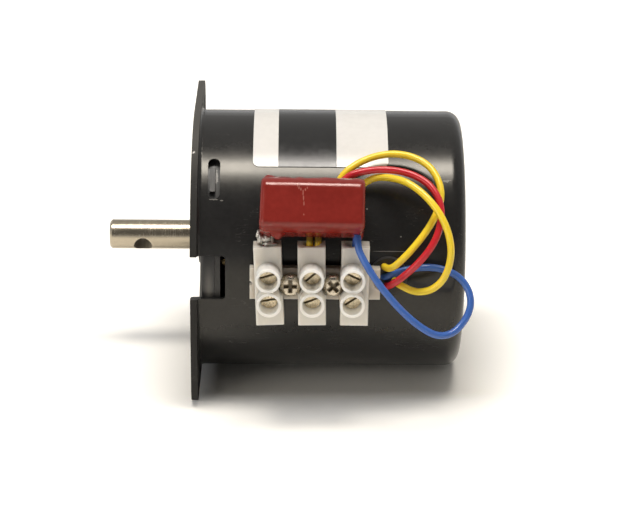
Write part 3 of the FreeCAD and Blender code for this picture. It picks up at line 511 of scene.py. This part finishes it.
# ---- lead grommet ----
# A grommet of soft black rubber with a matt skin is pushed into a hole in the can.  The
# four leads come out through it.
grommet_rubber = (0.022, 0.021, 0.02)
cover_with(plain_finish("black_rubber", grommet_rubber, roughness=0.62, size=0.4 * mm, spread=0.25,
                        relief=0.01 * mm), "lead_grommet")


# ---- terminal strip ----
# A three-pole strip is moulded in natural nylon, which is milky and lets light through.  Its
# chimney walls are painted paler, as painted light through the thin nylon, and its web is
# painted darker near the can, as painted shade, and darker still between the poles' upper
# parts.  Turned and plated brass inserts lie in its barrels.
natural_nylon = (0.7, 0.67, 0.61)
# Painted light: the chimney walls are paler.
chimney_painted_light = (0.98, 0.93, 0.835)
# Painted shade on the web near the can.
web_painted_shade = (0.55, 0.505, 0.44)
# Painted shade on the web between the poles' upper parts.
gap_painted_shade = (0.2, 0.165, 0.125)
nylon_depth = 3.0 * mm
nylon_depth_shares = (1.0, 0.93, 0.85)
strip_x = 27.3
strip_angle = 3.4
pole_pitch = 9.55
chimney_walls = (37.6 * mm, 39.0 * mm)
web_top = 35.3 * mm
web_gap = (3.1 * mm, 6.45 * mm)
gap_shade_fade = (1.5 * mm, 3.2 * mm)
insert_plate = (0.66, 0.56, 0.36)


def nylon_finish():
    nylon = plain_finish("natural_nylon", natural_nylon, roughness=0.34, size=1.6 * mm, spread=0.05,
                         gloss_spread=0.06, relief=0.006 * mm, IOR=1.53, Subsurface_Weight=1.0,
                         Subsurface_Scale=nylon_depth, Subsurface_Radius=nylon_depth_shares)
    tree, shader, surface = inside(nylon)
    place = on_seat(tree, strip_x, strip_angle)
    thin = spread_out(tree, place["Z"], *chimney_walls, 0.0, 1.0)
    web = maths(tree, "LESS_THAN", place["Z"], web_top)
    gaps = between(tree, maths(tree, "ABSOLUTE", place["X"]), *web_gap)
    # Painted shade on the web between the poles' upper parts.
    gap_shade = maths(tree, "MULTIPLY", gaps, spread_out(tree, place["Y"], *gap_shade_fade, 0.0, 1.0))
    gap_shade = maths(tree, "MULTIPLY", gap_shade, web)
    # Painted light on the chimney walls and painted shade on the web.
    colour = over(tree, thin, surface["Colour"], chimney_painted_light)
    colour = over(tree, web, colour, web_painted_shade)
    join(tree, over(tree, gap_shade, colour, gap_painted_shade), shader["Base Color"])
    return nylon


cover_with(nylon_finish(), "terminal_strip")
cover_with(metal_finish("insert_plate", insert_plate, roughness=0.3, size=0.4 * mm),
           "terminal_insert_1", "terminal_insert_2", "terminal_insert_3")


# ---- clamp screws and strip screws ----
# Six slotted clamp screws stand in the chimneys, brassy and worn, with painted shade in their
# slots.  Two nickel-plated screws, with painted shade in and round their cross recesses, hold the strip on
# the can.
clamp_plate = (0.6, 0.515, 0.37)
worn_nickel = (0.58, 0.52, 0.42)
# Painted shade in the screws' recesses.
recess_painted_shade = (0.22, 0.17, 0.095)
slot_walls = (37.91 * mm, 38.01 * mm)
cross_sides = (0.38 * mm, 0.62 * mm)
cross_ends = (1.4 * mm, 1.6 * mm)
# Each cross: its place along the motor in millimetres, and its turn in degrees.
crosses = ((strip_x - pole_pitch / 2, 0.0), (strip_x + pole_pitch / 2, 40.0))


def slots(tree):
    """The clamp screws' slots, which lie deeper than the heads' faces."""
    return spread_out(tree, on_seat(tree, strip_x, strip_angle)["Z"], *slot_walls, 1.0, 0.0)


def cross_recess(tree, x, turn):
    """The arms of the cross in one strip screw's head."""
    place = on_seat(tree, x, strip_angle)
    flat = put(tree, "CombineXYZ", {"X": place["X"], "Y": place["Y"]})[0]
    turned = put(tree, "VectorRotate", {"Vector": flat, "Angle": -math.radians(turn)})[0]
    sides = parts_of(tree, vectors(tree, "ABSOLUTE", turned))
    along = maths(tree, "MAXIMUM", sides["X"], sides["Y"])
    across = maths(tree, "MINIMUM", sides["X"], sides["Y"])
    return maths(tree, "MULTIPLY", spread_out(tree, along, *cross_ends, 1.0, 0.0),
                 spread_out(tree, across, *cross_sides, 1.0, 0.0))


def cross_recesses(tree):
    return strongest(tree, [cross_recess(tree, x, turn) for x, turn in crosses])


def screw_finish(name, colour, recess, **looks):
    """A screw's plating, with painted shade in the recess that the driver turns it by."""
    plating = metal_finish(name, colour, roughness=0.26, **looks)
    tree, shader, surface = inside(plating)
    # Painted shade in the recess.
    recess_shade = recess(tree)
    join(tree, over(tree, recess_shade, surface["Colour"], recess_painted_shade), shader["Base Color"])
    join(tree, maths(tree, "SUBTRACT", 1.0, recess_shade), shader["Metallic"])
    return plating


cover_with(screw_finish("clamp_screw_plate", clamp_plate, slots, size=0.35 * mm, spread=0.45),
           "terminal_screws")
cover_with(screw_finish("strip_screw_nickel", worn_nickel, cross_recesses, size=0.5 * mm,
                        spread=0.15), "strip_screws")


# ---- film capacitor ----
# The capacitor is dipped in red epoxy, which rounds its edges, leaves its faces slightly
# wavy and hangs in drips below it, where the two legs come out.  A fine crack runs down
# from its upper edge.
epoxy_red = (0.21, 0.018, 0.013)
epoxy_sheen = (1.0, 0.86, 0.82)
capacitor_x = 27.4
capacitor_angle = 32.5
capacitor_size = Vector((22.9, 12.3, 9.8)) * mm
capacitor_lift = 3.5 * mm
capacitor_shift = -1.15 * mm
capacitor_tilt = math.radians(-0.8)
capacitor_slices = (30, 22, 8)
epoxy_edge = 1.3 * mm
# Past its crown and its foot, the outer face slopes back more and more.
crown = 3.5 * mm
crown_slopes = ((0.0, 0.37), (0.95 * mm, 0.6))
foot = -4.6 * mm
foot_slopes = ((0.0, 0.5), (0.6 * mm, 2.0))
left_flare = 0.03
top_lumps_from = 0.75
top_lump, top_lump_height = 1.1 * mm, 1.5 * mm
face_wave, face_wave_height = 4.5 * mm, 0.06 * mm
# Each drip or lump: its place, its reach and how far it is drawn up, in millimetres.
epoxy_drips = (
    ((-7.6, -6.1, -1.2), 1.7, -1.7), ((-9.4, -6.1, -2.0), 1.5, -0.5),
    ((10.7, -6.1, -1.6), 1.6, -1.4), ((-9.8, 6.1, 1.5), 1.7, 0.6), ((-6.9, 6.1, 0.5), 1.6, 0.45))
# Each bit of the crack: its place on the outer face and its length, in millimetres.
crack_bits = (
    (-3.4, 3.7, 0.5), (-3.1, 3.2, 0.4), (-2.7, 2.8, 0.4), (-1.3, 3.1, 0.35), (-1.7, 2.7, 0.35),
    (-2.2, 2.0, 0.8), (-2.1, 0.8, 0.7), (-2.0, -0.4, 0.6), (-2.0, -2.9, 0.25))
crack_width = 0.14
crack_ragged = 1.2
crack_pink = (0.7, 0.35, 0.28)
crack_strength = 0.3


def piece(name, solid, material, body, slot, *replaced):
    """Makes an object from a bmesh, dresses it, and sets it on its body."""
    mesh = bpy.data.meshes.new(name)
    solid.to_mesh(mesh)
    solid.free()
    mesh.polygons.foreach_set("use_smooth", [True] * len(mesh.polygons))
    made = bpy.data.objects.new(name, mesh)
    bpy.context.scene.collection.objects.link(made)
    mesh.materials.append(material)
    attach(made, body)
    if replaced:
        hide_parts(*replaced)
    return made


def slice_across(solid, direction, low, high, count):
    """Cuts a mesh with evenly spaced planes, so that its faces can be shaped."""
    for k in range(1, count):
        point = direction * (low + (high - low) * k / count)
        everything = solid.verts[:] + solid.edges[:] + solid.faces[:]
        bmesh.ops.bisect_plane(solid, geom=everything, dist=1e-6, plane_co=point, plane_no=direction)


def pull(solid, centre, reach, move):
    """Draws the skin near a point along, as a drip or a lump."""
    for vert in solid.verts:
        share = 1.0 - ((vert.co - centre).length / reach) ** 2
        if share > 0.0:
            vert.co += move * share ** 2


def dipped_body():
    solid = bmesh.new()
    bmesh.ops.create_cube(solid, size=1.0)
    bmesh.ops.scale(solid, vec=capacitor_size, verts=solid.verts)
    bmesh.ops.bevel(solid, geom=solid.edges[:], offset=epoxy_edge, offset_type="OFFSET",
                    segments=5, profile=0.5, affect="EDGES", material=-1)
    half = capacitor_size / 2
    for axis, (length, count) in enumerate(zip(half, capacitor_slices)):
        direction = Vector([1.0 if k == axis else 0.0 for k in range(3)])
        inner = length - epoxy_edge
        slice_across(solid, direction, -inner, inner, count)
    for vert in solid.verts:
        if vert.co.z > 0.0:
            for start, slope in crown_slopes:
                vert.co.z -= max(0.0, vert.co.y - crown - start) * slope
            for start, slope in foot_slopes:
                vert.co.z -= max(0.0, foot - start - vert.co.y) * slope
        lumps = noise.noise(vert.co / top_lump) * max(0.0, vert.co.y / half.y - top_lumps_from)
        vert.co.y += top_lump_height * lumps
        vert.co += vert.co.normalized() * face_wave_height * noise.noise(vert.co / face_wave)
        if vert.co.x < 0.0:
            vert.co.x -= left_flare * (half.y - vert.co.y)
    for place, reach, drop in epoxy_drips:
        pull(solid, Vector(place) * mm, reach * mm, Vector((0.0, drop * mm, 0.0)))
    middle = can_radius + capacitor_lift + half.z
    stand = (seat_on_can(capacitor_x, capacitor_angle) @ Matrix.Translation((0.0, capacitor_shift, middle))
             @ Matrix.Rotation(capacitor_tilt, 4, "Z"))
    bmesh.ops.transform(solid, matrix=stand, verts=solid.verts)
    return solid


def epoxy_finish():
    epoxy = plain_finish("dipped_epoxy", epoxy_red, roughness=0.2, size=1.1 * mm, spread=0.1,
                         gloss_spread=0.06, relief=0.022 * mm, Specular_Tint=epoxy_sheen)
    tree, shader, surface = inside(epoxy)
    seat = seat_on_can(capacitor_x, capacitor_angle)
    face = can_radius + capacitor_lift + capacitor_size.z
    bits = []
    for x, y, length in crack_bits:
        centre = seat @ Vector((x * mm, y * mm + capacitor_shift, face))
        bits.append(ragged_mark(tree, centre, (crack_width, length, length), crack_ragged))
    crack = maths(tree, "MULTIPLY", strongest(tree, bits), crack_strength)
    join(tree, over(tree, crack, surface["Colour"], crack_pink), shader["Base Color"])
    return epoxy


capacitor = piece("dipped_capacitor", dipped_body(), epoxy_finish(), "motor_body",
                  "capacitor_epoxy", "capacitor")
smoothing = capacitor.modifiers.new("smoothing", "SUBSURF")
smoothing.levels = smoothing.render_levels = 1


# ---- capacitor's legs and the solder at the first pole ----
# The capacitor's legs are tinned wire.  The left one and a tinned lead end are soldered in
# a rough lump at the mouth of the first barrel.
wire_tin = (0.6, 0.58, 0.54)
first_pole_x = strip_x - pole_pitch
# Each lump: its middle on the strip's seat and its half lengths, in millimetres.
solder_lumps = (
    ((-1.9, 10.1, 34.6), (0.65, 1.3, 1.0)), ((-0.7, 10.4, 34.9), (1.2, 0.75, 0.7)),
    ((0.3, 9.4, 35.4), (1.6, 0.4, 0.6)), ((-2.4, 11.2, 34.4), (0.4, 0.9, 0.6)))
coarse_height, coarse_scale = 0.4, 2.2
fine_height, fine_scale = 0.3, 6.0


def solder_lump():
    solid = bmesh.new()
    for place, size in solder_lumps:
        for vert in bmesh.ops.create_icosphere(solid, subdivisions=4, radius=1.0)["verts"]:
            coarse = coarse_height * noise.noise(vert.co * coarse_scale + Vector(place))
            rough = 1.0 + coarse + fine_height * noise.noise(vert.co * fine_scale)
            stretched = Vector([along * reach * rough for along, reach in zip(vert.co, size)])
            vert.co = (Vector(place) + stretched) * mm
    bmesh.ops.transform(solid, matrix=seat_on_can(first_pole_x, strip_angle), verts=solid.verts)
    return solid


tinned_wire = metal_finish("tinned_wire", wire_tin, roughness=0.3, size=0.4 * mm, spread=0.15)
cover_with(tinned_wire, "capacitor_legs")
piece("solder_lump", solder_lump(), tinned_wire, "motor_body", "leg_tin")


# ---- rating label ----
# A printed film label is stuck round the can: a white field, a dark field and a wider
# white one, left without any wording.
label_white = (0.71, 0.695, 0.67)
label_dark = (0.013, 0.013, 0.013)
dark_field = (19.6 * mm, 32.8 * mm)


def label_finish():
    film = plain_finish("printed_film", label_white, roughness=0.22, size=1.4 * mm, spread=0.03,
                        gloss_spread=0.05, relief=0.003 * mm)
    tree, shader, surface = inside(film)
    dark = between(tree, parts_of(tree, place_on_part(tree))["X"], *dark_field)
    join(tree, over(tree, dark, surface["Colour"], label_dark), shader["Base Color"])
    return film


cover_with(label_finish(), "rating_label")


# ---- leads ----
# Four stranded leads in soft PVC come out of the grommet and loop round beside the
# terminals.  Both yellow ones enter the middle pole, where a painted shadow of the capacitor
# darkens them, the red one enters the first and the blue one the third.
lead_diameter = 1.6 * mm
# Painted shadow of the capacitor on the yellow leads.
capacitor_painted_shadow = (0.24, 0.16, 0.025)
shadow_middle = (27.7, 22.2, 4.2)
shadow_size = (4.0, 2.9, 2.9)
shadow_ragged = 0.5
lead_colours = {
    "lead_yellow": (0.9, 0.66, 0.035),
    "lead_red": (0.56, 0.02, 0.03),
    "lead_blue": (0.052, 0.138, 0.45),
}
# Each lead follows these points: along the motor in millimetres, degrees round it, and
# millimetres above the can.
lead_routes = {
    "lead_yellow_a": (
        (43.4, 8.7, -0.4), (43.4, 8.9, 2.3), (44.9, 9.1, 4.9), (47.3, 12.7, 5.4),
        (49.9, 17.3, 5.3), (52.8, 23.3, 4.6), (55.0, 29.8, 4.0), (56.2, 36.5, 3.6),
        (55.6, 43.7, 3.2), (53.5, 50.3, 3.0), (49.9, 54.5, 2.9), (45.7, 56.1, 2.8),
        (41.4, 55.0, 2.6), (37.5, 51.6, 2.5), (34.2, 47.0, 2.3), (32.0, 39.9, 1.0),
        (29.3, 33.7, 1.0), (27.3, 27.1, 1.2), (26.8, 22.4, 2.5), (26.8, 19.6, 4.9),
        (26.7, 15.2, 4.8)),
    "lead_yellow_b": (
        (45.8, 2.7, -0.4), (45.8, 2.9, 2.1), (47.2, 2.5, 4.3), (50.3, 0.6, 5.4),
        (53.6, 1.6, 6.0), (56.2, 5.2, 6.5), (57.6, 10.4, 7.0), (58.1, 16.1, 7.6),
        (57.5, 21.8, 8.0), (56.1, 27.0, 8.1), (54.1, 31.8, 7.9), (51.3, 36.9, 7.0),
        (48.1, 41.1, 5.9), (44.4, 43.9, 4.2), (40.7, 45.0, 2.8), (36.4, 39.9, 1.2),
        (32.8, 33.9, 1.0), (29.6, 27.1, 1.2), (28.7, 22.4, 2.5), (28.7, 19.6, 4.9),
        (28.6, 15.2, 4.8)),
    "lead_red": (
        (44.0, 0.4, -0.3), (44.0, 0.7, 2.3), (45.6, 3.9, 5.2), (47.9, 7.3, 6.2),
        (50.5, 11.4, 6.9), (53.1, 16.1, 7.1), (55.1, 21.7, 6.7), (56.0, 28.1, 6.1),
        (55.6, 34.5, 5.5), (53.5, 40.5, 5.0), (50.2, 44.5, 4.6), (46.2, 46.5, 4.6),
        (41.9, 46.9, 4.5), (38.1, 46.1, 4.2), (35.2, 44.8, 3.8), (31.5, 37.7, 2.7),
        (26.5, 33.9, 2.6), (21.8, 30.4, 1.6), (18.6, 26.6, 1.3), (16.8, 22.4, 2.8),
        (16.8, 19.8, 5.0), (16.9, 15.2, 4.8)),
    "lead_blue": (
        (43.3, 4.3, -0.4), (43.3, 4.3, 2.2), (45.9, 6.9, 3.1), (49.2, 8.7, 3.2),
        (53.0, 9.4, 3.0), (56.8, 8.7, 3.2), (60.1, 6.1, 3.7), (62.3, 1.8, 4.9),
        (62.9, -3.1, 6.9), (61.4, -7.2, 9.3), (58.6, -9.9, 11.7), (55.2, -9.6, 13.2),
        (51.6, -6.7, 13.4), (47.8, -2.5, 12.9), (44.2, 2.7, 12.3), (41.1, 8.1, 11.8),
        (38.8, 13.1, 11.0), (37.5, 16.6, 10.1), (37.3, 19.1, 9.8), (37.3, 20.9, 8.9),
        (37.2, 21.6, 7.2), (37.1, 20.7, 5.7), (37.0, 18.4, 5.1), (36.9, 15.7, 4.8)),
}


def lead_finish(name):
    """Soft PVC, with a painted shadow of the capacitor above the middle pole on the yellow leads."""
    pvc = plain_finish(name + "_pvc", lead_colours[name], roughness=0.2, size=2.5 * mm, spread=0.03,
                       gloss_spread=0.01, relief=0.001 * mm, Subsurface_Weight=0.1,
                       Subsurface_Scale=0.5 * mm)
    if name == "lead_yellow":
        tree, shader, surface = inside(pvc)
        # Painted shadow of the capacitor.
        shadow_mask = ragged_mark(tree, on_can(*shadow_middle), shadow_size, shadow_ragged)
        join(tree, over(tree, shadow_mask, surface["Colour"], capacitor_painted_shadow), shader["Base Color"])
    return pvc


lead_finishes = {name: lead_finish(name) for name in lead_colours}
for node, route in lead_routes.items():
    finish = next(name for name in lead_colours if node.startswith(name))
    line = bpy.data.curves.new(node + "_pvc", "CURVE")
    line.dimensions = "3D"
    line.bevel_depth = lead_diameter / 2
    line.bevel_resolution = 6
    line.resolution_u = 8
    line.use_fill_caps = True
    spline = line.splines.new("NURBS")
    spline.points.add(len(route) - 1)
    for point, place in zip(spline.points, route):
        point.co = (*on_can(*place), 1.0)
    spline.order_u = 3
    spline.use_endpoint_u = True
    line.materials.append(lead_finishes[finish])
    lead = bpy.data.objects.new(node + "_pvc", line)
    bpy.context.scene.collection.objects.link(lead)
    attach(lead, "motor_body")
    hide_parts(node)


# ---- floor ----
# The motor lies on its flange's rim and its can's rear, on a seamless warm white sheet.
# Clear of a patch round the motor, and more so far behind it, the sheet glows, so that it
# stays pale to its edges; the glow's rim round that patch is painted light that shapes the
# motor's shadow.  The motor's gloss mirrors little of that glow.
sheet_white = (0.95, 0.928, 0.872)
glow_white = (1.0, 1.0, 1.0)
sheet_reach = 4.0
rim_radius = 31.0 * mm
rim_to_rear = 58.05 * mm
# The glow stops at this patch round the motor, so its rim paints the edge of the motor's shadow.
shaded_middle = (34.0 * mm, 0.0, 0.0)
shaded_squeeze = (0.65, 1.0, 0.0)
shaded_half = (18.5 * mm, 21.0 * mm, 0.0)
shaded_fade = 13.0 * mm
clear_glow = 0.3
far_behind = (80.0 * mm, 500.0 * mm)
far_glow = 0.5
mirrored_share = 0.2


def sheet_finish():
    sheet = plain_finish("pale_sheet", sheet_white, roughness=0.6, size=3.0 * mm, spread=0.004, relief=0.0,
                         Specular_IOR_Level=0.2, Emission_Color=glow_white)
    tree, shader = inside(sheet)[:2]
    place = place_on_part(tree)
    offset = vectors(tree, "SUBTRACT", place, shaded_middle)
    offset = vectors(tree, "ABSOLUTE", vectors(tree, "MULTIPLY", offset, shaded_squeeze))
    clear = length_of(tree, vectors(tree, "MAXIMUM", vectors(tree, "SUBTRACT", offset, shaded_half)))
    behind = parts_of(tree, place)["Y"]
    glow = maths(tree, "ADD", spread_out(tree, clear, 0.0, shaded_fade, 0.0, clear_glow),
                 spread_out(tree, behind, *far_behind, 0.0, far_glow))
    rays = put(tree, "LightPath", {})
    seen = maths(tree, "MULTIPLY_ADD", rays["Is Glossy Ray"], mirrored_share, rays["Is Camera Ray"])
    seen = maths(tree, "MINIMUM", maths(tree, "ADD", seen, rays["Is Transmission Ray"]), 1.0)
    join(tree, maths(tree, "MULTIPLY", glow, seen), shader["Emission Strength"])
    return sheet


floor_slope = math.atan((rim_radius - can_radius) / rim_to_rear)
sheet_mesh = bmesh.new()
bmesh.ops.create_grid(sheet_mesh, x_segments=8, y_segments=8, size=sheet_reach)
bmesh.ops.rotate(sheet_mesh, verts=sheet_mesh.verts, cent=(0.0, 0.0, 0.0),
                 matrix=Matrix.Rotation(-floor_slope, 3, "Y"))
bmesh.ops.translate(sheet_mesh, verts=sheet_mesh.verts, vec=(0.0, 0.0, -rim_radius))
floor_data = bpy.data.meshes.new("pale_floor")
sheet_mesh.to_mesh(floor_data)
sheet_mesh.free()
floor_data.materials.append(sheet_finish())
floor = bpy.data.objects.new("pale_floor", floor_data)
bpy.context.scene.collection.objects.link(floor)


# ---- lights ----
# A narrow warm softbox hangs over the motor, before a wider and weaker one, and a third
# stands low on the shaft's side.  The room is pale behind the motor and dim on the near
# side, so the can's front stays dark under its bright upper band.
softbox_colour = (1.0, 0.95, 0.885)
# Each softbox: its name and radiance, its length, depth and place in metres, and whether
# it is turned towards the motor instead of facing down.
softboxes = (
    ("softbox", 16.0, 0.36, 0.138, (0.03, -0.066, 0.6), False),
    ("wide_softbox", 3.2, 0.36, 0.3, (0.03, -0.08, 0.61), False),
    ("side_softbox", 2.0, 0.5, 0.5, (-0.52, -0.5, 0.2), True))
near_low, behind_low = (0.5, 0.49, 0.48), (0.82, 0.82, 0.82)
near_high, behind_high = (0.13, 0.126, 0.122), (0.44, 0.43, 0.415)
near_to_behind = (-0.25, 0.25)
low_to_high = (0.08, 0.24)

for name, radiance, length, depth, place, turned in softboxes:
    lamp = bpy.data.lights.new(name, "AREA")
    lamp.shape = "RECTANGLE"
    lamp.size = length
    lamp.size_y = depth
    lamp.color = softbox_colour
    lamp.energy = radiance * math.pi * length * depth
    softbox = bpy.data.objects.new(name, lamp)
    softbox.location = place
    if turned:
        softbox.rotation_euler = (-Vector(place)).to_track_quat("-Z", "Y").to_euler()
    bpy.context.scene.collection.objects.link(softbox)

room = bpy.data.worlds.new("room")
room.use_nodes = True
bpy.context.scene.world = room
sky = room.node_tree
towards = parts_of(sky, put(sky, "TexCoord", {})["Generated"])
behind = spread_out(sky, towards["Y"], *near_to_behind, 0.0, 1.0)
low = over(sky, behind, near_low, behind_low)
high = over(sky, behind, near_high, behind_high)
raised = spread_out(sky, towards["Z"], *low_to_high, 0.0, 1.0)
join(sky, over(sky, raised, low, high), sky.nodes["Background"].inputs["Color"])


# ---- camera ----
# The camera stands a good half metre off and looks down on the motor's terminal side, from
# a little to its front.  Its swing and roll are in radians.
view_rise = math.radians(21.0)
view_swing = 0.0156
view_roll = 0.0072
view_offset = Vector((31.80, -3.248, 551.76)) * mm
picture_width = 622
focal_pixels = 2333.8
lens_centre = (330.0, 250.0)
picture_centre = (311.0, 266.0)
sensor_width = 36.0
nearest_seen, farthest_seen = 0.01, 20.0
lens = bpy.data.cameras.new("view")
lens.sensor_width = sensor_width
lens.lens = focal_pixels * sensor_width / picture_width
lens.shift_x = (picture_centre[0] - lens_centre[0]) / picture_width
lens.shift_y = (lens_centre[1] - picture_centre[1]) / picture_width
lens.clip_start = nearest_seen
lens.clip_end = farthest_seen
camera = bpy.data.objects.new("view", lens)
camera.matrix_world = (
    Matrix.Rotation(math.pi / 2 - view_rise, 4, "X") @ Matrix.Rotation(-view_swing, 4, "Y")
    @ Matrix.Rotation(view_roll, 4, "Z") @ Matrix.Translation(view_offset))
bpy.context.scene.collection.objects.link(camera)
bpy.context.scene.camera = camera
bpy.context.scene.view_settings.view_transform = "Standard"
